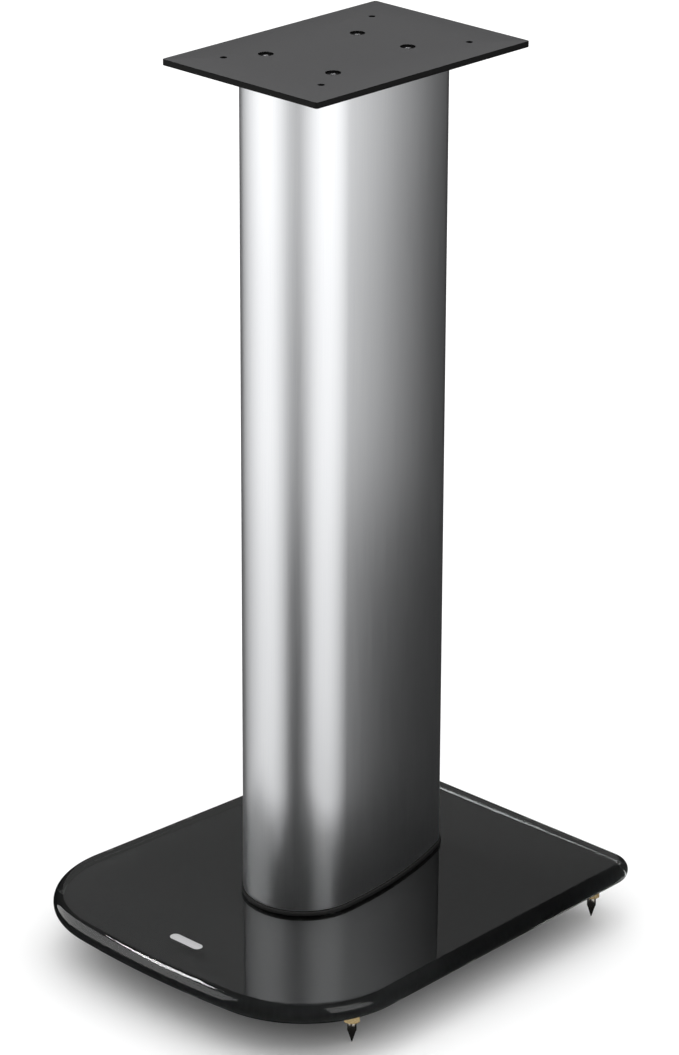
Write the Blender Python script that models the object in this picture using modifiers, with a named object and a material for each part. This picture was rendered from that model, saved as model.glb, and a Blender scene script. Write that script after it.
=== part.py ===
"""Loudspeaker stand: top plate, extruded column, glass base and levelling spikes.

The floor is z = 0 and the front of the stand faces -Y. Lengths below are in
millimetres and are turned into metres when the geometry is made.
"""
import bpy
import bmesh
import math
from mathutils import Matrix, Vector

MM = 0.001

# Stack of heights above the floor.
TIP_Z = 0.0
NUT_BOTTOM = 15.0
NUT_TOP = 21.0
FRAME_BOTTOM = 21.3
FRAME_TOP = 27.3
CUSHION_BOTTOM = 27.6
CUSHION_TOP = 28.9
GLASS_BOTTOM = 29.2
GLASS_TOP = 43.2
GASKET_BOTTOM = 43.5
GASKET_TOP = 46.3
COLUMN_BOTTOM = 46.6
COLUMN_TOP = 605.3
PLATE_BOTTOM = 605.6
PLATE_TOP = 609.6

# Middle of the top plate, measured from the middle of the base. The plate, the
# column and the outline of the base are all drawn about this point.
PLATE_Y = 15.3

# Top plate.
PLATE_WIDTH = 133.6
PLATE_LENGTH = 190.0
PLATE_CORNER = 2.0
PLATE_EDGE = 0.4
FIXING_X = 42.0
FIXING_Y = 66.0
FIXING_RADIUS = 2.0

# Countersunk M5 screws, top and bottom.
SCREW_RADIUS = 2.5
SCREW_HEAD_RADIUS = 4.4
SCREW_RIM = 0.15
SCREW_POINT = 0.8
SCREW_HOLE_RADIUS = 2.85
SCREW_MOUTH_RADIUS = 4.8
SCREW_SUNK = 1.0
SCREW_LENGTH = 24.0
BOLT_SUNK = 0.2
BOLT_LENGTH = 45.0
SEAT_GAP = 0.2
SOCKET_FLATS = 3.0
SOCKET_DEPTH = 1.8

# Column section: a round nose, two long side arcs and a small round tail, each
# tangent to the next.
NOSE_RADIUS = 39.8
NOSE_Y = -38.3
SIDE_RADIUS = 305.0
TAIL_RADIUS = 21.6
WALL = 3.0
WEB = 3.0
PORT_OUTER = 7.9
PORT_BORE = 2.85
PORTS = ((29.0, -42.2), (21.7, 31.7))
GASKET_LIP = 1.2
GASKET_HOLE = 3.2

# Glass base, outline at its widest.
EDGE_RADIUS = (GLASS_TOP - GLASS_BOTTOM) / 2
BASE_FRONT = -181.1
BASE_REAR = 150.5
BASE_HALF_WIDTH = 135.4
BASE_TAPER = 0.039
BOW_RADIUS = 700.0
FRONT_CORNER = 76.6
REAR_CORNER = 17.6
SMALLEST_CORNER = 4.0
GLASS_HOLE = 5.0
SLEEVE_OUTER = 4.65
SLEEVE_BORE = 2.9

# Parts under the glass.
FRAME_INSET = 17.0
FRAME_CORNER = 70.0
FRAME_EDGE = 0.5
CUSHION_INSET = 18.0
FEET = ((113.2, -109.1), (107.4, 129.3))
FOOT_BORE = 3.35
CUSHION_FOOT_HOLE = 3.7

# Spike and lock nut, M6.
STUD_RADIUS = 3.0
STUD_TOP = 28.3
STUD_POINT = 0.6
SHOULDER_Z = 8.0
SHOULDER_STEP = 0.35
TIP_RADIUS = 0.3
NUT_FLATS = 10.0
NUT_BORE = 3.35
NUT_CHAMFER = 0.5
NUT_TURN = 15.0

# Badge on the glass.
BADGE_LENGTH = 27.0
BADGE_WIDTH = 7.0
BADGE_CORNER = 3.4
BADGE_BOTTOM = 43.5
BADGE_TOP = 44.1
BADGE_Y = -146.0

# Length by which a cutter runs past the face it cuts.
OVERSHOOT = 1.0


def clear_scene():
    for item in list(bpy.data.objects):
        bpy.data.objects.remove(item, do_unlink=True)


def new_collection(name):
    group = bpy.data.collections.new(name)
    bpy.context.scene.collection.children.link(group)
    return group


def new_material(name, color, metallic, roughness):
    material = bpy.data.materials.new(name)
    material.use_nodes = True
    shader = material.node_tree.nodes["Principled BSDF"]
    shader.inputs["Base Color"].default_value = (*color, 1.0)
    shader.inputs["Metallic"].default_value = metallic
    shader.inputs["Roughness"].default_value = roughness
    material.diffuse_color = (*color, 1.0)
    return material


def arc(center_x, center_y, radius, start, end, step=5.0):
    """Points on an arc, both ends included. Angles are in degrees."""
    count = max(1, math.ceil(abs(end - start) / step))
    points = []
    for i in range(count + 1):
        angle = math.radians(start + (end - start) * i / count)
        x = center_x + radius * math.cos(angle)
        y = center_y + radius * math.sin(angle)
        points.append((x, y))
    return points


def circle(center_x, center_y, radius):
    return arc(center_x, center_y, radius, 0, 360, 15.0)[:-1]


def mirrored(half):
    """Close a half outline that runs from the front middle to the rear middle."""
    other = [(-x, y) for x, y in reversed(half) if abs(x) > 0.01]
    return half + other


def both_sides(points):
    """Each point and its mirror image, shifted to the middle of the base."""
    places = []
    for x, y in points:
        places.append((-x, y + PLATE_Y))
        places.append((x, y + PLATE_Y))
    return places


def column_outline(offset=0.0):
    """Section of the column, moved outward by an offset."""
    side_x = NOSE_RADIUS - SIDE_RADIUS
    reach = SIDE_RADIUS - TAIL_RADIUS
    tail_y = NOSE_Y + math.sqrt(reach ** 2 - side_x ** 2)
    turn = math.degrees(math.acos(-side_x / reach))
    half = arc(0, NOSE_Y, NOSE_RADIUS + offset, -90, 0)
    half += arc(side_x, NOSE_Y, SIDE_RADIUS + offset, 0, turn, 3.0)[1:]
    half += arc(0, tail_y, TAIL_RADIUS + offset, turn, 90, 9.0)[1:]
    return mirrored(half)


def column_half_width(y):
    """Half the width of the column section at y."""
    if y < NOSE_Y:
        return math.sqrt(NOSE_RADIUS ** 2 - (y - NOSE_Y) ** 2)
    return math.sqrt(SIDE_RADIUS ** 2 - (y - NOSE_Y) ** 2) - (SIDE_RADIUS - NOSE_RADIUS)


def base_outline(inset, front_corner):
    """Outline of the base, moved inward, with its own front corner radius.

    The bowed front runs into a large corner, then a straight tapered side,
    then a small rear corner and the straight rear edge. The front corner is
    tangent to the bow and to the side, which a few rounds of the loop settle.
    """
    corner_in = inset + front_corner
    lean = math.atan(BASE_TAPER)
    lean_deg = math.degrees(lean)
    bow_y = BASE_FRONT + BOW_RADIUS
    across = BASE_HALF_WIDTH - corner_in / math.cos(lean)
    corner_y = BASE_FRONT + corner_in
    for _ in range(20):
        corner_x = across - BASE_TAPER * corner_y
        reach = BOW_RADIUS - corner_in
        corner_y = bow_y - math.sqrt(reach ** 2 - corner_x ** 2)
    bow_turn = math.degrees(math.atan2(corner_y - bow_y, corner_x))
    rear_radius = max(REAR_CORNER - inset, SMALLEST_CORNER)
    rear_y = BASE_REAR - inset - rear_radius
    rear_x = BASE_HALF_WIDTH - (inset + rear_radius) / math.cos(lean) - BASE_TAPER * rear_y
    half = arc(0, bow_y, BOW_RADIUS - inset, -90, bow_turn, 1.5)
    half += arc(corner_x, corner_y, front_corner, bow_turn, lean_deg)[1:]
    half += arc(rear_x, rear_y, rear_radius, lean_deg, 90, 12.0)
    half.append((0.0, BASE_REAR - inset))
    return mirrored(half)


def rounded_bar(length, width, radius):
    """Rectangle with rounded corners, length along X, about its middle."""
    x = length / 2 - radius
    y = width / 2 - radius
    points = []
    for corner, (side, end) in enumerate(((1, 1), (-1, 1), (-1, -1), (1, -1))):
        start = 90 * corner
        points += arc(side * x, end * y, radius, start, start + 90, 22.5)
    return points


def baked(item):
    """Mesh of an object with its modifiers applied. The object is removed."""
    bpy.context.view_layer.update()
    graph = bpy.context.evaluated_depsgraph_get()
    mesh = bpy.data.meshes.new_from_object(item.evaluated_get(graph))
    bpy.data.objects.remove(item, do_unlink=True)
    return mesh


def plate(name, group, loops, bottom, top, round_edge=0.0):
    """Flat solid between two heights. Loops after the first are holes.

    With a round edge the outline swells outward by that radius at mid height.
    """
    curve = bpy.data.curves.new(name, "CURVE")
    curve.dimensions = "2D"
    curve.fill_mode = "BOTH"
    curve.extrude = max((top - bottom) / 2 - round_edge, 0.0) * MM
    curve.bevel_depth = round_edge * MM
    curve.bevel_resolution = 4
    for loop in loops:
        spline = curve.splines.new("POLY")
        spline.points.add(len(loop) - 1)
        for point, (x, y) in zip(spline.points, loop):
            point.co = (x * MM, y * MM, 0.0, 1.0)
        spline.use_cyclic_u = True
    item = bpy.data.objects.new(name, curve)
    bpy.context.scene.collection.objects.link(item)
    mesh = baked(item)
    shape = bmesh.new()
    shape.from_mesh(mesh)
    bmesh.ops.remove_doubles(shape, verts=shape.verts, dist=0.00001)
    bmesh.ops.recalc_face_normals(shape, faces=shape.faces)
    shape.to_mesh(mesh)
    shape.free()
    solid = bpy.data.objects.new(name, mesh)
    solid.location = (0.0, PLATE_Y * MM, (bottom + top) / 2 * MM)
    group.objects.link(solid)
    return solid


def turned(name, group, profile, place=(0.0, 0.0), steps=32):
    """Solid of revolution about Z from its outer profile, top to bottom."""
    mesh = bpy.data.meshes.new(name)
    shape = bmesh.new()
    points = [(0.0, profile[0][1])] + profile + [(0.0, profile[-1][1])]
    verts = [shape.verts.new((r * MM, 0.0, z * MM)) for r, z in points]
    for first, second in zip(verts, verts[1:]):
        shape.edges.new((first, second))
    shape.to_mesh(mesh)
    shape.free()
    item = bpy.data.objects.new(name, mesh)
    item.location = Vector((*place, 0.0)) * MM
    group.objects.link(item)
    spin = item.modifiers.new("Spin", "SCREW")
    spin.axis = "Z"
    spin.angle = 2 * math.pi
    spin.steps = steps
    spin.render_steps = steps
    spin.use_merge_vertices = True
    spin.merge_threshold = 0.00001
    spin.use_smooth_shade = False
    return item


def pegs(name, group, radius, sides, bottom, top, places):
    """Upright prisms in one object, each with its corners on a circle."""
    mesh = bpy.data.meshes.new(name)
    shape = bmesh.new()
    for x, y in places:
        middle = Vector((x, y, (bottom + top) / 2)) * MM
        bmesh.ops.create_cone(
            shape,
            cap_ends=True,
            segments=sides,
            radius1=radius * MM,
            radius2=radius * MM,
            depth=(top - bottom) * MM,
            matrix=Matrix.Translation(middle),
        )
    shape.to_mesh(mesh)
    shape.free()
    item = bpy.data.objects.new(name, mesh)
    group.objects.link(item)
    return item


def box(name, group, size, center):
    mesh = bpy.data.meshes.new(name)
    shape = bmesh.new()
    bmesh.ops.create_cube(shape, size=1.0)
    bmesh.ops.scale(shape, vec=Vector(size) * MM, verts=shape.verts)
    shape.to_mesh(mesh)
    shape.free()
    item = bpy.data.objects.new(name, mesh)
    item.location = Vector(center) * MM
    group.objects.link(item)
    return item


def combine(target, tool, operation):
    step = target.modifiers.new(tool.name, "BOOLEAN")
    step.operation = operation
    step.solver = "EXACT"
    step.object = tool


def soften(target, width, segments):
    edge = target.modifiers.new("Edge", "BEVEL")
    edge.width = width * MM
    edge.segments = segments
    edge.limit_method = "ANGLE"
    edge.angle_limit = math.radians(40.0)


def finish(item, material, smooth_angle=None):
    """Give an object its material, and smooth shading below an edge angle."""
    mesh = item.data
    mesh.materials.clear()
    mesh.materials.append(material)
    if smooth_angle is None:
        return
    shape = bmesh.new()
    shape.from_mesh(mesh)
    for face in shape.faces:
        face.smooth = True
    for edge in shape.edges:
        edge.smooth = edge.calc_face_angle(0.0) < math.radians(smooth_angle)
    shape.to_mesh(mesh)
    shape.free()


def repeat(master, parents, material, places):
    """Put a copy of one solid at each place, numbered from 1."""
    name = master.name
    group = master.users_collection[0]
    mesh = baked(master)
    for number, (parent, place) in enumerate(zip(parents, places), 1):
        item = bpy.data.objects.new(f"{name}_{number}", mesh.copy())
        item.parent = parent
        item.location = Vector((*place, 0.0)) * MM
        group.objects.link(item)
        finish(item, material, 30.0)


def countersunk(head_z, length, down):
    """Profile of a screw, top to bottom. Down is -1 with the head on top."""
    cone = SCREW_HEAD_RADIUS - SCREW_RADIUS
    tip_z = head_z + down * length
    profile = [
        (SCREW_HEAD_RADIUS, head_z),
        (SCREW_HEAD_RADIUS, head_z + down * SCREW_RIM),
        (SCREW_RADIUS, head_z + down * (SCREW_RIM + cone)),
        (SCREW_RADIUS, tip_z - down * SCREW_POINT),
        (SCREW_RADIUS - SCREW_POINT, tip_z),
    ]
    return profile if down < 0 else profile[::-1]


def countersink(face_z, sunk, far_z, down):
    """Profile of the cutter for a countersunk hole, past both faces."""
    cone = SCREW_MOUTH_RADIUS - SCREW_HOLE_RADIUS
    seat_z = face_z + down * (sunk + SEAT_GAP)
    profile = [
        (SCREW_MOUTH_RADIUS, face_z - down * OVERSHOOT),
        (SCREW_MOUTH_RADIUS, seat_z),
        (SCREW_HOLE_RADIUS, seat_z + down * cone),
        (SCREW_HOLE_RADIUS, far_z + down * OVERSHOOT),
    ]
    return profile if down < 0 else profile[::-1]


def make_screws(name, parts, tools, stand, material, head_z, length, down):
    """Four countersunk socket screws in the pattern of the column ports."""
    screw = turned(name, parts, countersunk(head_z, length, down))
    ends = sorted((head_z - down * OVERSHOOT, head_z + down * SOCKET_DEPTH))
    corner = SOCKET_FLATS / math.sqrt(3)
    socket = pegs("cut_socket_" + name, tools, corner, 6, ends[0], ends[1], [(0.0, 0.0)])
    combine(screw, socket, "DIFFERENCE")
    repeat(screw, [stand] * 4, material, both_sides(PORTS))


def make_top_plate(parts, tools):
    steel = new_material("top_plate", (0.085, 0.085, 0.088), 0.0, 0.48)
    loop = rounded_bar(PLATE_WIDTH, PLATE_LENGTH, PLATE_CORNER)
    item = plate("top_plate", parts, [loop], PLATE_BOTTOM, PLATE_TOP)
    soften(item, PLATE_EDGE, 2)
    profile = countersink(PLATE_TOP, SCREW_SUNK, PLATE_BOTTOM, -1)
    for number, place in enumerate(both_sides(PORTS), 1):
        cutter = turned(f"cut_plate_{number}", tools, profile, place)
        combine(item, cutter, "DIFFERENCE")
    places = both_sides(((FIXING_X, -FIXING_Y), (FIXING_X, FIXING_Y)))
    low = PLATE_BOTTOM - OVERSHOOT
    high = PLATE_TOP + OVERSHOOT
    fixings = pegs("cut_fixings", tools, FIXING_RADIUS, 24, low, high, places)
    combine(item, fixings, "DIFFERENCE")
    finish(item, steel)


def make_column(parts, tools):
    metal = new_material("column", (0.72, 0.73, 0.75), 1.0, 0.32)
    loops = [column_outline(), column_outline(-WALL)]
    item = plate("column", parts, loops, COLUMN_BOTTOM, COLUMN_TOP)
    middle = (COLUMN_BOTTOM + COLUMN_TOP) / 2
    height = COLUMN_TOP - COLUMN_BOTTOM
    for number, (_, y) in enumerate(PORTS, 1):
        span = 2 * column_half_width(y) - WALL
        center = (0.0, y + PLATE_Y, middle)
        web = box(f"add_web_{number}", tools, (span, WEB, height), center)
        combine(item, web, "UNION")
    places = both_sides(PORTS)
    ports = pegs("add_ports", tools, PORT_OUTER, 24, COLUMN_BOTTOM, COLUMN_TOP, places)
    combine(item, ports, "UNION")
    low = COLUMN_BOTTOM - OVERSHOOT
    high = COLUMN_TOP + OVERSHOOT
    bores = pegs("cut_ports", tools, PORT_BORE, 20, low, high, places)
    combine(item, bores, "DIFFERENCE")
    finish(item, metal, 25.0)


def make_gasket(parts):
    rubber = new_material("foot_gasket", (0.012, 0.012, 0.012), 0.0, 0.6)
    loops = [column_outline(GASKET_LIP)]
    for x, y in both_sides(PORTS):
        loops.append(circle(x, y - PLATE_Y, GASKET_HOLE))
    item = plate("foot_gasket", parts, loops, GASKET_BOTTOM, GASKET_TOP)
    finish(item, rubber, 25.0)


def make_base_glass(parts, tools):
    glass = new_material("base_glass", (0.006, 0.006, 0.007), 0.0, 0.03)
    flat = base_outline(EDGE_RADIUS, FRONT_CORNER - EDGE_RADIUS)
    item = plate("base_glass", parts, [flat], GLASS_BOTTOM, GLASS_TOP, EDGE_RADIUS)
    low = GLASS_BOTTOM - OVERSHOOT
    high = GLASS_TOP + OVERSHOOT
    holes = pegs("cut_glass", tools, GLASS_HOLE, 24, low, high, both_sides(PORTS))
    combine(item, holes, "DIFFERENCE")
    finish(item, glass, 30.0)


def make_sleeves(parts, stand):
    nylon = new_material("bolt_sleeve", (0.78, 0.77, 0.72), 0.0, 0.5)
    loops = [circle(0, 0, SLEEVE_OUTER), circle(0, 0, SLEEVE_BORE)]
    sleeve = plate("bolt_sleeve", parts, loops, GLASS_BOTTOM, GLASS_TOP)
    height = sleeve.location.z
    repeat(sleeve, [stand] * 4, nylon, both_sides(PORTS))
    for item in parts.objects:
        if item.name.startswith("bolt_sleeve_"):
            item.location.z = height


def make_cushion(parts, tools):
    foam = new_material("glass_cushion", (0.02, 0.02, 0.02), 0.0, 0.9)
    loop = base_outline(CUSHION_INSET, FRAME_CORNER)
    item = plate("glass_cushion", parts, [loop], CUSHION_BOTTOM, CUSHION_TOP)
    low = CUSHION_BOTTOM - OVERSHOOT
    high = CUSHION_TOP + OVERSHOOT
    ports = pegs("cut_cushion_ports", tools, GLASS_HOLE, 24, low, high, both_sides(PORTS))
    combine(item, ports, "DIFFERENCE")
    feet = both_sides(FEET)
    bores = pegs("cut_cushion_feet", tools, CUSHION_FOOT_HOLE, 24, low, high, feet)
    combine(item, bores, "DIFFERENCE")
    finish(item, foam)


def make_underframe(parts, tools):
    steel = new_material("underframe", (0.02, 0.02, 0.021), 0.0, 0.5)
    loop = base_outline(FRAME_INSET, FRAME_CORNER)
    item = plate("underframe", parts, [loop], FRAME_BOTTOM, FRAME_TOP)
    soften(item, FRAME_EDGE, 1)
    profile = countersink(FRAME_BOTTOM, BOLT_SUNK, FRAME_TOP, 1)
    for number, place in enumerate(both_sides(PORTS), 1):
        cutter = turned(f"cut_frame_{number}", tools, profile, place)
        combine(item, cutter, "DIFFERENCE")
    low = FRAME_BOTTOM - OVERSHOOT
    high = FRAME_TOP + OVERSHOOT
    bores = pegs("cut_feet", tools, FOOT_BORE, 24, low, high, both_sides(FEET))
    combine(item, bores, "DIFFERENCE")
    finish(item, steel)


def make_feet(parts, tools, stand):
    """Spikes and lock nuts, each pair on an empty at the foot of its axis."""
    brass = new_material("foot_nut", (0.72, 0.55, 0.27), 1.0, 0.25)
    nickel = new_material("foot_spike", (0.66, 0.63, 0.58), 1.0, 0.18)
    feet = []
    for number, (x, y) in enumerate(both_sides(FEET), 1):
        foot = bpy.data.objects.new(f"foot_{number}", None)
        foot.location = Vector((x, y, TIP_Z)) * MM
        foot.parent = stand
        parts.objects.link(foot)
        feet.append(foot)
    on_axis = [(0.0, 0.0)]
    corner = NUT_FLATS / math.sqrt(3)
    nut = pegs("foot_nut", parts, corner, 6, NUT_BOTTOM, NUT_TOP, on_axis)
    nut.rotation_euler.z = math.radians(NUT_TURN)
    reach = corner + NUT_CHAMFER
    drop = NUT_CHAMFER + (reach - NUT_FLATS / 2) / 2
    dome = [
        (NUT_FLATS / 2, NUT_TOP + NUT_CHAMFER / 2),
        (reach, NUT_TOP + NUT_CHAMFER / 2 - drop),
        (reach, NUT_BOTTOM - NUT_CHAMFER / 2 + drop),
        (NUT_FLATS / 2, NUT_BOTTOM - NUT_CHAMFER / 2),
    ]
    rounder = turned("trim_nut", tools, dome, steps=36)
    combine(nut, rounder, "INTERSECT")
    low = NUT_BOTTOM - OVERSHOOT
    high = NUT_TOP + OVERSHOOT
    bore = pegs("cut_nut", tools, NUT_BORE, 24, low, high, on_axis)
    combine(nut, bore, "DIFFERENCE")
    repeat(nut, feet, brass, on_axis * 4)
    stud = [
        (STUD_RADIUS - STUD_POINT, STUD_TOP),
        (STUD_RADIUS, STUD_TOP - STUD_POINT),
        (STUD_RADIUS, SHOULDER_Z + SHOULDER_STEP),
        (STUD_RADIUS - SHOULDER_STEP, SHOULDER_Z),
        (TIP_RADIUS, TIP_Z),
    ]
    repeat(turned("foot_spike", parts, stud), feet, nickel, on_axis * 4)


def make_badge(parts):
    silver = new_material("badge", (0.75, 0.75, 0.76), 1.0, 0.28)
    loop = rounded_bar(BADGE_LENGTH, BADGE_WIDTH, BADGE_CORNER)
    item = plate("badge", parts, [loop], BADGE_BOTTOM, BADGE_TOP)
    item.location.y += BADGE_Y * MM
    finish(item, silver, 30.0)


def main():
    clear_scene()
    parts = new_collection("speaker_stand")
    tools = new_collection("cutters")
    stand = bpy.data.objects.new("stand", None)
    parts.objects.link(stand)
    make_top_plate(parts, tools)
    zinc = new_material("top_screw", (0.62, 0.62, 0.64), 1.0, 0.3)
    head_z = PLATE_TOP - SCREW_SUNK
    make_screws("top_screw", parts, tools, stand, zinc, head_z, SCREW_LENGTH, -1)
    make_column(parts, tools)
    make_gasket(parts)
    make_base_glass(parts, tools)
    make_sleeves(parts, stand)
    make_cushion(parts, tools)
    make_underframe(parts, tools)
    dull = new_material("column_bolt", (0.5, 0.5, 0.52), 1.0, 0.35)
    head_z = FRAME_BOTTOM + BOLT_SUNK
    make_screws("column_bolt", parts, tools, stand, dull, head_z, BOLT_LENGTH, 1)
    make_feet(parts, tools, stand)
    make_badge(parts)
    for item in parts.objects:
        if item.parent is None and item is not stand:
            item.parent = stand
    for tool in tools.objects:
        tool.hide_render = True
        tool.display_type = "WIRE"


main()
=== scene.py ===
"""Looks for the loudspeaker stand: finer meshes, materials, floor, lights and camera."""

import math

import bmesh
import bpy
from mathutils import Matrix, Vector


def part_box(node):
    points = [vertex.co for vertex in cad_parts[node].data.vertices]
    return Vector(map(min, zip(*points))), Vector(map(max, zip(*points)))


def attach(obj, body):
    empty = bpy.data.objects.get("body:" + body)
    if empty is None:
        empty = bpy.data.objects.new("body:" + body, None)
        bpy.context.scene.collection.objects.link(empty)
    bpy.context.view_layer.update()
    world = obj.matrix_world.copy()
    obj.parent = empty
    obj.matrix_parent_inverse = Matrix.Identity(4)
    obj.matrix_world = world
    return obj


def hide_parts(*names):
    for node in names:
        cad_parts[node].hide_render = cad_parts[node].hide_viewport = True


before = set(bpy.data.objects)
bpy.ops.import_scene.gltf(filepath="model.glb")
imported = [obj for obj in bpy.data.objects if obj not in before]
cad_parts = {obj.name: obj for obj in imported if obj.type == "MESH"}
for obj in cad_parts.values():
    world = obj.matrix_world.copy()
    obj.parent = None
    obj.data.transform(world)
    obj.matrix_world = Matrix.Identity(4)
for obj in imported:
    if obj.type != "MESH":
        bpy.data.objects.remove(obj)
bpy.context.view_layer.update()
MM = 0.001
UP = Vector((0.0, 0.0, 1.0))

# Sizes in millimetres. Outlines are about the middle of the top plate.
NOSE_RADIUS, NOSE_Y = 39.8, -38.3
SIDE_RADIUS, TAIL_RADIUS = 305.0, 21.6
WALL, WEB = 3.0, 3.0
PORTS = ((-29.0, -42.2), (29.0, -42.2), (-21.7, 31.7), (21.7, 31.7))
PORT_OUTER, PORT_BORE = 7.9, 2.85
GASKET_LIP, GASKET_HOLE = 1.2, 3.2
BASE_FRONT, BASE_REAR = -181.1, 150.5
BASE_HALF_WIDTH, BASE_TAPER = 135.33, 0.039
BOW_RADIUS, FRONT_CORNER, REAR_CORNER = 700.0, 76.6, 17.6
SMALLEST_CORNER = 4.0
CORNER_PASSES = 20    # rounds that settle the front corner of the base
FRAME_INSET, CUSHION_INSET, FRAME_CORNER = 17.0, 18.0, 70.0
FEET = ((-113.2, -109.1), (113.2, -109.1), (-107.4, 129.3), (107.4, 129.3))
FIXINGS = ((-42.0, -66.0), (42.0, -66.0), (-42.0, 66.0), (42.0, 66.0))

# Straight steps in each round stretch, and the angle in degrees under which an
# edge is shaded smooth.
NOSE_STEPS, SIDE_STEPS, TAIL_STEPS = 48, 28, 28
BOW_STEPS, FRONT_STEPS, REAR_STEPS, BAR_STEPS = 16, 40, 20, 10
SIDES, SMALL_SIDES = 48, 32
SMOOTH, COLUMN_SMOOTH, SPIKE_SMOOTH, NUT_SMOOTH = 30.0, 24.0, 40.0, 25.0
ON_AXIS = 0.01        # an outline point this close to the middle has no mirror image


# ---------------------------------------------------------------- camera

CAMERA_AT = (1.82362, -1.87174, 1.36262)
CAMERA_YAW = math.radians(44.101)
CAMERA_DIP = math.radians(22.230)
CAMERA_ROLL = math.radians(0.208)
CAMERA_REACH = 60.0
LENS, FILM_HEIGHT = 149.65, 36.0      # millimetres


def make_camera():
    data = bpy.data.cameras.new("camera")
    data.sensor_fit = "VERTICAL"
    data.sensor_height = FILM_HEIGHT
    data.lens = LENS
    data.clip_end = CAMERA_REACH
    camera = bpy.data.objects.new("camera", data)
    bpy.context.scene.collection.objects.link(camera)
    level = math.cos(CAMERA_DIP)
    ahead = Vector((-math.sin(CAMERA_YAW) * level, math.cos(CAMERA_YAW) * level,
                    -math.sin(CAMERA_DIP)))
    right = Vector((math.cos(CAMERA_YAW), math.sin(CAMERA_YAW), 0.0))
    up = right.cross(ahead)
    tilt = Matrix.Rotation(-CAMERA_ROLL, 3, ahead)
    axes = Matrix((tilt @ right, tilt @ up, -ahead)).transposed()
    camera.matrix_world = Matrix.Translation(CAMERA_AT) @ axes.to_4x4()
    bpy.context.scene.camera = camera


# ---------------------------------------------------------------- studio

WHITE = 1.54          # light from above on the floor and on paint
LOW_WHITE = 0.15      # the same light near the horizon
ROOM = 0.03           # what gloss mirrors above the horizon
BELOW = 0.01          # what gloss mirrors below it
# Where each rise starts and ends, as the height of a direction: -1 is straight
# down, 0 the horizon and 1 straight up.
WHITE_RISE, ROOM_RISE = (0.0, 0.7), (-0.03, 0.20)


def remap(tree, source, limits, values, target, blend="LINEAR"):
    """Link a number to a socket, with its limits mapped onto two values."""
    step = tree.nodes.new("ShaderNodeMapRange")
    step.interpolation_type = blend
    for name, number in zip(("From Min", "From Max", "To Min", "To Max"), (*limits, *values)):
        step.inputs[name].default_value = number
    tree.links.new(source, step.inputs["Value"])
    tree.links.new(step.outputs["Result"], target)


def plain_light(tree):
    """White light of strength 1, until something is linked to its strength."""
    shade = tree.nodes.new("ShaderNodeBackground")
    shade.inputs["Color"].default_value = (1.0, 1.0, 1.0, 1.0)
    shade.inputs["Strength"].default_value = 1.0
    return shade


def choose(tree, switch, if_not, if_so):
    """One of two shaders, by the kind of ray."""
    mix = tree.nodes.new("ShaderNodeMixShader")
    tree.links.new(switch, mix.inputs[0])
    tree.links.new(if_not.outputs[0], mix.inputs[1])
    tree.links.new(if_so.outputs[0], mix.inputs[2])
    return mix


def make_world():
    """White behind the stand, soft light from above, and a dark room in gloss."""
    world = bpy.data.worlds.new("studio")
    bpy.context.scene.world = world
    world.use_nodes = True
    world.cycles.sampling_method = "NONE"
    tree = world.node_tree
    tree.nodes.clear()
    out = tree.nodes.new("ShaderNodeOutputWorld")
    ray = tree.nodes.new("ShaderNodeLightPath").outputs
    where = tree.nodes.new("ShaderNodeTexCoord")
    split = tree.nodes.new("ShaderNodeSeparateXYZ")
    tree.links.new(where.outputs["Generated"], split.inputs[0])
    height = split.outputs["Z"]
    room, light, backdrop = plain_light(tree), plain_light(tree), plain_light(tree)
    remap(tree, height, ROOM_RISE, (BELOW, ROOM), room.inputs["Strength"], "SMOOTHSTEP")
    remap(tree, height, WHITE_RISE, (LOW_WHITE, WHITE), light.inputs["Strength"], "SMOOTHSTEP")
    around = choose(tree, ray["Is Diffuse Ray"], room, light)
    seen = choose(tree, ray["Is Camera Ray"], around, backdrop)
    tree.links.new(seen.outputs[0], out.inputs["Surface"])


def softbox(name, bearing, distance, width, bottom, top, bright):
    """Upright panel of light that faces the stand from a bearing off +X."""
    data = bpy.data.lights.new(name, "AREA")
    data.shape = "RECTANGLE"
    data.size = width
    data.size_y = top - bottom
    data.energy = bright * math.pi * width * (top - bottom)
    lamp = bpy.data.objects.new(name, data)
    bpy.context.scene.collection.objects.link(lamp)
    turn = math.radians(bearing)
    toward = Vector((math.cos(turn), math.sin(turn), 0.0))
    lamp.location = toward * distance + UP * (top + bottom) / 2
    lamp.rotation_euler = toward.to_track_quat("Z", "Y").to_euler()
    lamp.visible_camera = False
    lamp.visible_diffuse = False
    return lamp


# Upright panels stand in a ring round the stand. They fade towards a dark gap
# near the camera and towards both ends of the ring. Bearings are in degrees.
PANEL_DISTANCE, PANEL_STEP = 0.95, 15
RING_START, RING_END = -175, 95
GAP_BEARING = -59.0
FRONT_FADE, SIDE_FULL = (-220.0, -110.0), 0.0
# Bottom and top in metres, bearing off the gap where the light starts and
# where it is full, bearing where the side ends, and the full brightness.
RING_ROWS = (
    (-0.64, -0.05, 9.0, 36.0, 58.0, 0.90),
    (-0.05, 0.35, -15.0, 46.0, 85.0, 1.12),
    (0.35, 1.00, -25.0, 48.0, 90.0, 1.30),
)
# Name, bearing, distance, width, bottom, top and brightness of the cards that only
# the glass mirrors. To the camera the first one shows in its top face, and the
# others are there for its round edge.
CARDS = (
    ("rear_card", 134.0, 1.40, 0.90, 0.30, 1.05, 0.26),
    ("front_card", -143.5, PANEL_DISTANCE, 1.16, 0.0, 1.0, 2.6),
    ("side_card", -5.0, PANEL_DISTANCE, 0.69, 0.15, 1.5, 2.6),
    ("high_strip", -166.5, PANEL_DISTANCE, 0.60, 1.03, 1.38, 22.0),
    ("high_spot", 17.0, PANEL_DISTANCE, 0.24, 2.30, 2.70, 60.0),
)


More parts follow.
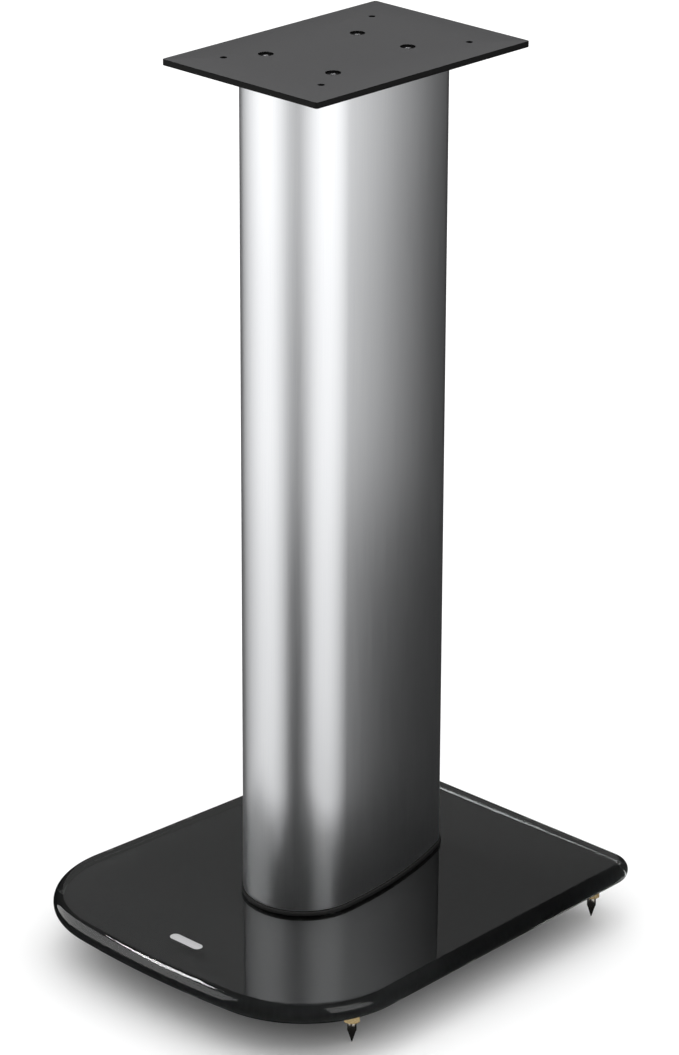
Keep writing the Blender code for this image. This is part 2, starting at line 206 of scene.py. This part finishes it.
def ramp(value, start, end):
    """Smooth step from 0 at the start to 1 at the end."""
    part = min(1.0, max(0.0, (value - start) / (end - start)))
    return part * part * (3 - 2 * part)


def make_ring():
    """Lamps of the ring, one above the other at each bearing."""
    ring = []
    width = 2 * PANEL_DISTANCE * math.tan(math.radians(PANEL_STEP / 2))
    for bearing in range(RING_START, RING_END, PANEL_STEP):
        for low, high, start, full, side_end, bright in RING_ROWS:
            bright *= ramp(bearing, *FRONT_FADE) * ramp(bearing, side_end, SIDE_FULL)
            bright *= ramp(abs(bearing - GAP_BEARING), start, full)
            if bright > 0.0:
                panel = softbox("panel", bearing, PANEL_DISTANCE, width, low, high, bright)
                ring.append(panel)
    return ring


def link_light(name, lamps, item, state):
    """Make lamps light only one piece, or every piece but that one."""
    group = bpy.data.collections.new(name)
    group.objects.link(item)
    group.collection_objects[0].light_linking.link_state = state
    for lamp in lamps:
        lamp.light_linking.receiver_collection = group


FLOOR_REACH = 12.0
PAPER = (0.9, 0.9, 0.9)


def make_floor():
    """Pale floor. It casts no shadow, because the ring of panels reaches below it."""
    shape = bmesh.new()
    bmesh.ops.create_grid(shape, x_segments=4, y_segments=4, size=FLOOR_REACH)
    floor = to_object("floor", shape)
    paper, shader = principled("paper", PAPER, 0.0, 1.0)
    shader.inputs["Specular IOR Level"].default_value = 0.0
    floor.data.materials.append(paper)
    floor.visible_glossy = False
    floor.visible_transmission = False
    floor.visible_shadow = False


# ---------------------------------------------------------------- mesh tools


def to_object(name, shape, smooth_angle=None):
    """Object from a bmesh. Edges that turn by more than the angle stay sharp."""
    mesh = bpy.data.meshes.new(name)
    bmesh.ops.recalc_face_normals(shape, faces=shape.faces)
    if smooth_angle is not None:
        for face in shape.faces:
            face.smooth = True
        for edge in shape.edges:
            edge.smooth = edge.calc_face_angle(0.0) < math.radians(smooth_angle)
    shape.to_mesh(mesh)
    shape.free()
    item = bpy.data.objects.new(name, mesh)
    bpy.context.scene.collection.objects.link(item)
    return item


def arc(x, y, radius, start, end, count):
    points = []
    for i in range(count + 1):
        angle = math.radians(start + (end - start) * i / count)
        points.append((x + radius * math.cos(angle), y + radius * math.sin(angle)))
    return points


def circle(x, y, radius, count=SIDES):
    return arc(x, y, radius, 0.0, 360.0, count)[:-1]


def mirrored(half):
    """Close a half outline that runs from the front middle to the rear middle."""
    return half + [(-x, y) for x, y in reversed(half) if abs(x) > ON_AXIS]


def column_outline(offset):
    """Section of the column, moved outward: round nose, bowed sides, smaller round tail."""
    side_x = NOSE_RADIUS - SIDE_RADIUS
    reach = SIDE_RADIUS - TAIL_RADIUS
    tail_y = NOSE_Y + math.sqrt(reach ** 2 - side_x ** 2)
    turn = math.degrees(math.acos(-side_x / reach))
    half = arc(0, NOSE_Y, NOSE_RADIUS + offset, -90, 0, NOSE_STEPS)
    half += arc(side_x, NOSE_Y, SIDE_RADIUS + offset, 0, turn, SIDE_STEPS)[1:]
    half += arc(0, tail_y, TAIL_RADIUS + offset, turn, 90, TAIL_STEPS)[1:]
    return mirrored(half)


def half_width(y):
    """Half the width of the column section at y."""
    if y < NOSE_Y:
        return math.sqrt(NOSE_RADIUS ** 2 - (y - NOSE_Y) ** 2)
    return math.sqrt(SIDE_RADIUS ** 2 - (y - NOSE_Y) ** 2) - SIDE_RADIUS + NOSE_RADIUS


def base_outline(inset, front_corner):
    """Outline of the base, moved inward, with its own front corner radius."""
    corner_in = inset + front_corner
    lean = math.atan(BASE_TAPER)
    lean_deg = math.degrees(lean)
    bow_y = BASE_FRONT + BOW_RADIUS
    across = BASE_HALF_WIDTH - corner_in / math.cos(lean)
    corner_y = BASE_FRONT + corner_in
    for _ in range(CORNER_PASSES):
        corner_x = across - BASE_TAPER * corner_y
        corner_y = bow_y - math.sqrt((BOW_RADIUS - corner_in) ** 2 - corner_x ** 2)
    bow_turn = math.degrees(math.atan2(corner_y - bow_y, corner_x))
    rear = max(REAR_CORNER - inset, SMALLEST_CORNER)
    rear_y = BASE_REAR - inset - rear
    rear_x = BASE_HALF_WIDTH - (inset + rear) / math.cos(lean) - BASE_TAPER * rear_y
    half = arc(0, bow_y, BOW_RADIUS - inset, -90, bow_turn, BOW_STEPS)
    half += arc(corner_x, corner_y, front_corner, bow_turn, lean_deg, FRONT_STEPS)[1:]
    half += arc(rear_x, rear_y, rear, lean_deg, 90, REAR_STEPS)
    half.append((0.0, BASE_REAR - inset))
    return mirrored(half)


def bar_outline(length, width, radius, inset=0.0):
    """Rectangle with round corners, length along X."""
    x, y = length / 2 - radius, width / 2 - radius
    points = []
    for corner, (side, end) in enumerate(((1, 1), (-1, 1), (-1, -1), (1, -1))):
        start = 90 * corner
        points += arc(side * x, end * y, radius - inset, start, start + 90, BAR_STEPS)
    return points


def middle_of(node):
    """Middle of a node from above, in millimetres."""
    low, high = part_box(node)
    return (low.x + high.x) / 2 / MM, (low.y + high.y) / 2 / MM


def heights(node):
    """Bottom and top of a node in millimetres."""
    low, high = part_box(node)
    return low.z / MM, high.z / MM


def turned(profile, x, y, sides=SIDES):
    """Rings of a round shape about (x, y), from its (radius, height) points."""
    return [(z, circle(x, y, radius, sides)) for radius, z in profile]


def straight(outline, low, high):
    """Rings of a shape with the same outline all the way up."""
    return [(low, outline), (high, outline)]


def loft(shape, rings, at=(0.0, 0.0)):
    """Skin through rings of points, each (height, outline). Returns its end loops."""
    rows = []
    for z, ring in rings:
        rows.append([
            shape.verts.new(((x + at[0]) * MM, (y + at[1]) * MM, z * MM)) for x, y in ring
        ])
    for lower, upper in zip(rows, rows[1:]):
        for i in range(len(lower)):
            shape.faces.new((lower[i - 1], lower[i], upper[i], upper[i - 1]))
    return rows[0], rows[-1]


def cap(shape, loops):
    """Flat face between a loop and the holes in it."""
    edges = []
    for loop in loops:
        for i in range(len(loop)):
            pair = (loop[i - 1], loop[i])
            edges.append(shape.edges.get(pair) or shape.edges.new(pair))
    bmesh.ops.triangle_fill(shape, edges=edges, use_beauty=True)


def solid(name, outer, holes, at=(0.0, 0.0), smooth_angle=SMOOTH):
    """Closed solid from its outer rings and the rings of each hole through it.

    Every list of rings runs from the lower face to the upper face.
    """
    shape = bmesh.new()
    lower, upper = [], []
    for rings in (outer, *holes):
        first, last = loft(shape, rings, at)
        lower.append(first)
        upper.append(last)
    cap(shape, lower)
    cap(shape, upper)
    return to_object(name, shape, smooth_angle)


def edged(outline, bottom, top, round_by, steps=3):
    """Rings of a plate whose edges are rounded, from a function of the inset."""
    rings = []
    for i in range(steps + 1):
        angle = math.pi / 2 * i / steps
        rings.append((bottom + round_by * (1 - math.sin(angle)),
                      outline(round_by * (1 - math.cos(angle)))))
    rings.reverse()
    upper = [(top + bottom - z, ring) for z, ring in reversed(rings)]
    return rings + upper


def combine(target, tool, operation):
    step = target.modifiers.new(operation, "BOOLEAN")
    step.operation = operation
    step.solver = "EXACT"
    step.object = tool


def applied(item, smooth_angle):
    """The object with its modifiers applied, under the same name."""
    name = item.name
    tools = [step.object for step in item.modifiers if step.type == "BOOLEAN"]
    bpy.context.view_layer.update()
    graph = bpy.context.evaluated_depsgraph_get()
    shape = bmesh.new()
    shape.from_mesh(item.evaluated_get(graph).to_mesh())
    for old in [item, *tools]:
        bpy.data.objects.remove(old, do_unlink=True)
    return to_object(name, shape, smooth_angle)


def show(item, material, body, slot, *nodes):
    """Give a piece its finish and body, and let it stand for CAD nodes."""
    if material:
        item.data.materials.clear()
        item.data.materials.append(material)
    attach(item, body)
    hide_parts(*nodes)


# ---------------------------------------------------------------- materials


PATTERN = (0.3, 0.7)  # range of the noise that a material's two values span


def principled(name, color, metallic, roughness):
    material = bpy.data.materials.new(name)
    material.use_nodes = True
    shader = material.node_tree.nodes["Principled BSDF"]
    shader.inputs["Base Color"].default_value = (*color, 1.0)
    shader.inputs["Metallic"].default_value = metallic
    shader.inputs["Roughness"].default_value = roughness
    return material, shader


def grain(material, stretch, scale, detail=3.0):
    """Noise in the piece's own space, stretched along each axis."""
    tree = material.node_tree
    where = tree.nodes.new("ShaderNodeTexCoord")
    place = tree.nodes.new("ShaderNodeMapping")
    place.inputs["Scale"].default_value = stretch
    noise = tree.nodes.new("ShaderNodeTexNoise")
    noise.inputs["Scale"].default_value = scale
    noise.inputs["Detail"].default_value = detail
    tree.links.new(where.outputs["Object"], place.inputs["Vector"])
    tree.links.new(place.outputs["Vector"], noise.inputs["Vector"])
    return noise.outputs["Fac"]


def tint(material, source, colors, target):
    """Drive a colour on the shader from a pattern, between two colours."""
    tree = material.node_tree
    blend = tree.nodes.new("ShaderNodeValToRGB")
    for stop, position, color in zip(blend.color_ramp.elements, PATTERN, colors):
        stop.position = position
        stop.color = (*color, 1.0)
    tree.links.new(source, blend.inputs["Fac"])
    tree.links.new(blend.outputs["Color"], target)


def relief(material, shader, source, depth):
    """Bump of a depth in metres."""
    tree = material.node_tree
    bump = tree.nodes.new("ShaderNodeBump")
    bump.inputs["Strength"].default_value = 1.0
    bump.inputs["Distance"].default_value = depth
    tree.links.new(source, bump.inputs["Height"])
    tree.links.new(bump.outputs["Normal"], shader.inputs["Normal"])


def finish(name, first, second, metallic, rough, stretch, scale, depth=0.0):
    """A surface whose colour, roughness and relief follow one pattern."""
    material, shader = principled(name, first, metallic, rough[0])
    pattern = grain(material, stretch, scale)
    tint(material, pattern, (first, second), shader.inputs["Base Color"])
    remap(material.node_tree, pattern, PATTERN, rough, shader.inputs["Roughness"])
    if depth:
        relief(material, shader, pattern, depth)
    return material


GLASS_INDEX = 1.50
GLASS_MIRROR = (0.6, 0.6, 0.6, 1.0)   # dims what the surface mirrors
# Lowered gloss of the plate's edge finish, part of the painted shade on its edges and holes.
PAINTED_SHADE_GLOSS = 0.1


def clear_glass():
    material, shader = principled("clear_glass", (0.93, 0.96, 0.95), 0.0, 0.0)
    shader.inputs["Transmission Weight"].default_value = 1.0
    shader.inputs["IOR"].default_value = GLASS_INDEX
    shader.inputs["Specular Tint"].default_value = GLASS_MIRROR
    haze = grain(material, (1.0, 1.0, 1.0), 14.0, 2.0)
    colors = ((0.90, 0.94, 0.93), (0.95, 0.98, 0.97))
    tint(material, haze, colors, shader.inputs["Base Color"])
    return material


def make_materials():
    """Each finish: name, two colours, metallic, range of roughness, the pattern's
    stretch and scale, and the depth of its relief in metres.
    """
    even = (1.0, 1.0, 1.0)
    # The edge finish is the plate's own coat made near black and less glossy: painted shade on
    # the plate's edges and in its holes.
    edge = finish("painted_shade_edge", (0.003, 0.003, 0.003), (0.006, 0.006, 0.006),
                  0.0, (0.5, 0.6), even, 1400.0, 0.00003)
    shader = edge.node_tree.nodes["Principled BSDF"]
    shader.inputs["Specular IOR Level"].default_value = PAINTED_SHADE_GLOSS
    return {
        "top_plate": finish("powder_coat", (0.088, 0.088, 0.090), (0.102, 0.102, 0.104),
                            0.0, (0.42, 0.52), even, 1400.0, 0.00003),
        "plate_edge_painted_shade": edge,
        "column": finish("satin_anodised", (0.85, 0.86, 0.88), (0.89, 0.90, 0.91),
                         1.0, (0.30, 0.35), (1.0, 1.0, 0.006), 2600.0, 0.0000012),
        "zinc": finish("zinc_plate", (0.58, 0.58, 0.60), (0.68, 0.68, 0.69),
                       1.0, (0.22, 0.34), even, 900.0),
        "gasket": finish("gasket_rubber", (0.004, 0.004, 0.004), (0.009, 0.009, 0.009),
                         0.0, (0.55, 0.7), even, 1500.0, 0.00002),
        "glass": clear_glass(),
        "paint": finish("back_paint", (0.0012, 0.0012, 0.0014), (0.0022, 0.0022, 0.0024),
                        0.0, (0.5, 0.6), even, 300.0),
        "nylon": finish("nylon", (0.66, 0.65, 0.60), (0.74, 0.73, 0.69),
                        0.0, (0.42, 0.52), even, 500.0),
        "foam": finish("cushion_rubber", (0.010, 0.010, 0.010), (0.020, 0.020, 0.020),
                       0.0, (0.75, 0.9), even, 1200.0, 0.00003),
        "steel": finish("frame_coat", (0.010, 0.010, 0.011), (0.016, 0.016, 0.017),
                        0.0, (0.42, 0.52), even, 1200.0, 0.00003),
        "brass": finish("brass", (0.36, 0.27, 0.14), (0.52, 0.40, 0.21),
                        1.0, (0.18, 0.30), even, 1300.0),
        "nickel": finish("nickel_plate", (0.60, 0.56, 0.50), (0.70, 0.66, 0.60),
                         1.0, (0.12, 0.20), (1.0, 1.0, 12.0), 500.0),
        "badge": finish("badge_satin", (0.60, 0.60, 0.61), (0.72, 0.72, 0.73),
                        0.3, (0.28, 0.40), (0.02, 1.0, 1.0), 5000.0),
    }


# ---------------------------------------------------------------- pieces

PLATE_SIZE = (133.6, 190.0)
PLATE_CORNER, PLATE_EDGE = 2.0, 0.4
MOUTH_RADIUS, MOUTH_BREAK, SCREW_HOLE = 4.8, 0.15, 2.85
SUNK, SEAT_GAP = 1.0, 0.2
FIXING_RADIUS, FIXING_BREAK = 2.0, 0.25
UPRIGHT = 0.9         # faces whose normal rises less get the darker, less glossy edge finish, which is painted shade
FINE_STEPS = 4        # steps in a rounded edge that shows


def make_top_plate(look, at):
    """Coated plate with sunk screw holes and small fixing holes."""
    low, high = heights("top_plate")

    def outline(inset):
        return bar_outline(*PLATE_SIZE, PLATE_CORNER, inset)

    seat = high - SUNK - SEAT_GAP
    ream = MOUTH_RADIUS - SCREW_HOLE
    holes = []
    for x, y in PORTS:
        profile = ((SCREW_HOLE, low), (SCREW_HOLE, seat - ream), (MOUTH_RADIUS, seat),
                   (MOUTH_RADIUS, high - MOUTH_BREAK), (MOUTH_RADIUS + MOUTH_BREAK, high))
        holes.append(turned(profile, x, y))
    for x, y in FIXINGS:
        wide = FIXING_RADIUS + FIXING_BREAK
        profile = ((wide, low), (FIXING_RADIUS, low + FIXING_BREAK),
                   (FIXING_RADIUS, high - FIXING_BREAK), (wide, high))
        holes.append(turned(profile, x, y, SMALL_SIDES))
    rings = edged(outline, low, high, PLATE_EDGE, FINE_STEPS)
    item = solid("plate_steel", rings, holes, at)
    item.data.materials.append(look["top_plate"])
    item.data.materials.append(look["plate_edge_painted_shade"])
    # Upright faces (the plate's edges and hole walls) take the second finish, which is painted
    # shade.
    for face in item.data.polygons:
        if abs(face.normal.z) < UPRIGHT:
            face.material_index = 1
    show(item, None, "stand", "top_plate", "top_plate")


COLUMN_EDGE = 0.3
PORT_CUTTER_REACH = 1.0       # how far a cutter passes both ends of the column


def make_column(look, at):
    """Hollow extrusion with two webs, and a screw port near both ends of each."""
    low, high = heights("column")
    rings = edged(lambda inset: column_outline(-inset), low, high, COLUMN_EDGE)
    hole = straight(column_outline(-WALL), low, high)
    item = solid("column_extrusion", rings, [hole], at)
    for _, y in PORTS[1::2]:
        wide = half_width(y) - WALL / 2
        loop = [(-wide, y - WEB / 2), (wide, y - WEB / 2),
                (wide, y + WEB / 2), (-wide, y + WEB / 2)]
        combine(item, solid("web", straight(loop, low, high), [], at), "UNION")
    for x, y in PORTS:
        rings = straight(circle(x, y, PORT_OUTER), low, high)
        combine(item, solid("port", rings, [], at), "UNION")
    low, high = low - PORT_CUTTER_REACH, high + PORT_CUTTER_REACH
    for x, y in PORTS:
        rings = straight(circle(x, y, PORT_BORE), low, high)
        combine(item, solid("port", rings, [], at), "DIFFERENCE")
    item = applied(item, COLUMN_SMOOTH)
    show(item, look["column"], "stand", "column", "column")


GASKET_EDGE = 0.4


def make_gasket(look, at):
    """Pad under the column, a little wider than it."""
    low, high = heights("foot_gasket")
    holes = [straight(circle(x, y, GASKET_HOLE, SMALL_SIDES), low, high) for x, y in PORTS]
    rings = edged(lambda inset: column_outline(GASKET_LIP - inset), low, high, GASKET_EDGE)
    item = solid("gasket_pad", rings, holes, at)
    show(item, look["gasket"], "stand", "foot_gasket", "foot_gasket")


SLEEVE_HOLE = 5.0
# Tilt of the round edge at each ring, in degrees, closer together near the flat faces.
EDGE_TILTS = (90, 89, 87, 84, 80, 75, 69, 63, 56, 49, 42, 35, 28, 21, 14, 7, 0)
FLAT_DOWN = -0.9999           # the underside's normal, with a little slack


def make_base(look, at):
    """Clear slab with full round edges, painted black on its underside."""
    low, high = heights("base_glass")
    edge, middle = (high - low) / 2, (high + low) / 2
    rings = []
    for tilt in [-tilt for tilt in EDGE_TILTS] + list(reversed(EDGE_TILTS[:-1])):
        inset = edge * (1 - math.cos(math.radians(tilt)))
        height = middle + edge * math.sin(math.radians(tilt))
        rings.append((height, base_outline(inset, FRONT_CORNER - inset)))
    holes = [straight(circle(x, y, SLEEVE_HOLE), low, high) for x, y in PORTS]
    item = solid("base_slab", rings, holes, at)
    item.data.materials.append(look["glass"])
    item.data.materials.append(look["paint"])
    for face in item.data.polygons:
        if face.normal.z < FLAT_DOWN:
            face.material_index = 1
    show(item, None, "stand", "base_glass", "base_glass")
    return item


SLEEVE_RADIUS, SLEEVE_BORE, SLEEVE_EDGE = 4.65, 2.9, 0.3


def make_sleeves(look, at):
    """Nylon sleeves that keep the bolts off the glass."""
    low, high = heights("bolt_sleeve_1")
    for number, (x, y) in enumerate(PORTS, 1):
        rings = edged(lambda inset: circle(x, y, SLEEVE_RADIUS - inset), low, high, SLEEVE_EDGE)
        hole = straight(circle(x, y, SLEEVE_BORE), low, high)
        item = solid(f"sleeve_{number}", rings, [hole], at)
        show(item, look["nylon"], "stand", "bolt_sleeve", f"bolt_sleeve_{number}")


CUSHION_STUD_HOLE = 3.7


def make_cushion(look, at):
    """Rubber sheet between the glass and the underframe."""
    low, high = heights("glass_cushion")
    holes = [straight(circle(x, y, SLEEVE_HOLE), low, high) for x, y in PORTS]
    holes += [straight(circle(x, y, CUSHION_STUD_HOLE), low, high) for x, y in FEET]
    rings = straight(base_outline(CUSHION_INSET, FRAME_CORNER), low, high)
    item = solid("cushion_sheet", rings, holes, at)
    show(item, look["foam"], "stand", "glass_cushion", "glass_cushion")


FRAME_STUD_HOLE, FRAME_EDGE, FRAME_SUNK = 3.35, 0.5, 0.2


def make_underframe(look, at):
    """Steel plate that the spikes thread into, with sunk holes for the bolts."""
    low, high = heights("underframe")
    seat = low + FRAME_SUNK + SEAT_GAP
    ream = MOUTH_RADIUS - SCREW_HOLE
    profile = ((MOUTH_RADIUS, low), (MOUTH_RADIUS, seat), (SCREW_HOLE, seat + ream),
               (SCREW_HOLE, high))
    holes = [turned(profile, x, y) for x, y in PORTS]
    holes += [straight(circle(x, y, FRAME_STUD_HOLE), low, high) for x, y in FEET]

    def outline(inset):
        return base_outline(FRAME_INSET + inset, FRAME_CORNER - inset)

    item = solid("frame_plate", edged(outline, low, high, FRAME_EDGE), holes, at)
    show(item, look["steel"], "stand", "underframe", "underframe")


HEAD_RADIUS, HEAD_RIM, SHANK_RADIUS, SHANK_POINT = 4.4, 0.15, 2.5, 0.8
HEAD_BREAK = 0.05
SOCKET_FLATS, SOCKET_DEPTH = 3.0, 1.8
SOCKET_LIP, SOCKET_LIP_DEPTH = 0.1, 0.15
PIT_RADIUS, PIT_DEPTH = 0.3, 0.4      # drill point under the socket


def make_screws(look, stem, way):
    """Countersunk socket screws for the nodes of one stem. They point down for
    -1 and up for 1.
    """
    for number in range(1, 5):
        node = f"{stem}_{number}"
        low, high = heights(node)
        x, y = middle_of(node)
        head, tip = (high, low) if way < 0 else (low, high)
        cone = HEAD_RADIUS - SHANK_RADIUS
        profile = (
            (SHANK_RADIUS - SHANK_POINT, tip),
            (SHANK_RADIUS, tip - way * SHANK_POINT),
            (SHANK_RADIUS, head + way * (HEAD_RIM + cone)),
            (HEAD_RADIUS, head + way * HEAD_RIM),
            (HEAD_RADIUS, head + way * HEAD_BREAK),
            (HEAD_RADIUS - HEAD_BREAK, head),
        )
        shape = bmesh.new()
        tip_ring, head_ring = loft(shape, turned(profile, x, y))
        corner = SOCKET_FLATS / math.sqrt(3)
        floor = head + way * SOCKET_DEPTH
        socket = (
            (corner + SOCKET_LIP, head),
            (corner, head + way * SOCKET_LIP_DEPTH),
            (corner, floor),
            (PIT_RADIUS, floor + way * PIT_DEPTH),
        )
        mouth, pit = loft(shape, turned(socket, x, y, 6))
        cap(shape, [tip_ring])
        cap(shape, [head_ring, mouth])
        cap(shape, [pit])
        item = to_object(f"{stem}_fine_{number}", shape, SMOOTH)
        show(item, look["zinc"], "stand", stem, node)


STUD_RADIUS, STUD_POINT, THREAD_DEPTH, PITCH = 3.0, 0.6, 0.55, 1.0
THREAD_STEPS, THREAD_SIDES = 10, 40
CREST_FLAT = 0.12             # flat at the crest and at the root, of the pitch
SHOULDER_Z, SHOULDER_STEP, SHOULDER_BREAK = 8.0, 0.35, 0.1
SHANK_TOP, SHANK_RUNOUT = 15.4, 0.2
TIP_RADIUS, TIP_POINT, TIP_LENGTH = 0.3, 0.12, 0.15
NUT_FLATS, NUT_BORE, NUT_BREAK, NUT_TURN = 10.0, 3.35, 0.35, 15.0
NUT_SIDES, NUT_CONE, NUT_SHY = 96, 30.0, 0.15
NUT_LEVELS = (0.0, 0.08, 0.2, 0.35, 0.5, 0.65, 0.8)   # rings in from each face


def thread_ring(z, low, high):
    """Outline of a threaded rod at a height. The thread fades at both ends."""
    fade = min(1.0, max(0.0, (z - low) / PITCH), max(0.0, (high - z) / PITCH))
    ring = []
    for i in range(THREAD_SIDES):
        angle = 2 * math.pi * i / THREAD_SIDES
        phase = (z / PITCH - i / THREAD_SIDES) % 1.0
        flank = (abs(2 * phase - 1) - CREST_FLAT) / (1 - 2 * CREST_FLAT)
        flank = min(1.0, max(0.0, flank))
        radius = STUD_RADIUS - THREAD_DEPTH * fade * (1 - flank)
        ring.append((radius * math.cos(angle), radius * math.sin(angle)))
    return ring


def make_feet(look):
    """Spikes with their lock nuts, about the middle of each spike's node."""
    for number in range(1, 5):
        node = f"foot_spike_{number}"
        at = middle_of(node)
        item = make_spike(f"spike_{number}", *heights(node), at)
        show(item, look["nickel"], f"spike_{number}", "foot_spike", node)

        node = f"foot_nut_{number}"
        item = make_nut(f"lock_nut_{number}", *heights(node), at)
        show(item, look["brass"], f"nut_{number}", "foot_nut", node)


def make_spike(name, tip, top, at):
    """Cone, plain shank and threaded stud, in one turned piece."""
    shoulder = tip + SHOULDER_Z
    neck = STUD_RADIUS - SHOULDER_STEP
    profile = (
        (TIP_POINT, tip),
        (TIP_RADIUS, tip + TIP_LENGTH),
        (neck, shoulder - SHOULDER_BREAK),
        (neck + SHOULDER_BREAK, shoulder),
        (STUD_RADIUS, shoulder + SHOULDER_STEP),
        (STUD_RADIUS, tip + SHANK_TOP - SHANK_RUNOUT),
    )
    rings = turned(profile, 0, 0, THREAD_SIDES)
    start, end = tip + SHANK_TOP, top - STUD_POINT
    count = int((end - start) / PITCH * THREAD_STEPS)
    for i in range(count + 1):
        z = start + (end - start) * i / count
        rings.append((z, thread_ring(z, start, end)))
    rings.append((top, circle(0, 0, STUD_RADIUS - STUD_POINT, THREAD_SIDES)))
    return solid(name, rings, [], at, SPIKE_SMOOTH)


def make_nut(name, low, high, at):
    """Hexagon nut, its corners cut back by a cone at both ends."""
    slope = math.tan(math.radians(NUT_CONE))
    levels = [low + z for z in NUT_LEVELS] + [high - z for z in reversed(NUT_LEVELS)]
    rings = []
    for level in levels:
        near = min(level - low, high - level)
        limit = NUT_FLATS / 2 - NUT_SHY + near / slope
        ring = []
        for i in range(NUT_SIDES):
            turn = 2 * math.pi * i / NUT_SIDES
            angle = turn + math.radians(NUT_TURN)
            off = turn % (math.pi / 3) - math.pi / 6
            radius = min(NUT_FLATS / 2 / math.cos(off), limit)
            ring.append((radius * math.cos(angle), radius * math.sin(angle)))
        rings.append((level, ring))
    wide = NUT_BORE + NUT_BREAK
    bore = ((wide, low), (NUT_BORE, low + NUT_BREAK), (NUT_BORE, high - NUT_BREAK), (wide, high))
    return solid(name, rings, [turned(bore, 0, 0, THREAD_SIDES)], at, NUT_SMOOTH)


BADGE_SIZE = (27.0, 7.0)
BADGE_CORNER, BADGE_EDGE = 3.4, 0.25


def make_badge(look):
    """Plain bar with round ends."""
    low, high = heights("badge")

    def outline(inset):
        return bar_outline(*BADGE_SIZE, BADGE_CORNER, inset)

    rings = edged(outline, low, high, BADGE_EDGE, FINE_STEPS)
    item = solid("badge_bar", rings, [], middle_of("badge"))
    show(item, look["badge"], "stand", "badge", "badge")


make_camera()
make_world()
ring = make_ring()
cards = [softbox(*card) for card in CARDS]
make_floor()
look = make_materials()
middle = middle_of("top_plate")
make_top_plate(look, middle)
make_screws(look, "top_screw", -1)
make_column(look, middle)
make_gasket(look, middle)
base = make_base(look, middle)
link_light("glass_only", cards, base, "INCLUDE")
link_light("all_but_glass", ring, base, "EXCLUDE")
make_sleeves(look, middle)
make_cushion(look, middle)
make_underframe(look, middle)
make_screws(look, "column_bolt", 1)
make_feet(look)
make_badge(look)

view = bpy.context.scene.view_settings
view.view_transform = "Standard"
view.look = "None"
view.exposure = 0.0
view.gamma = 1.0
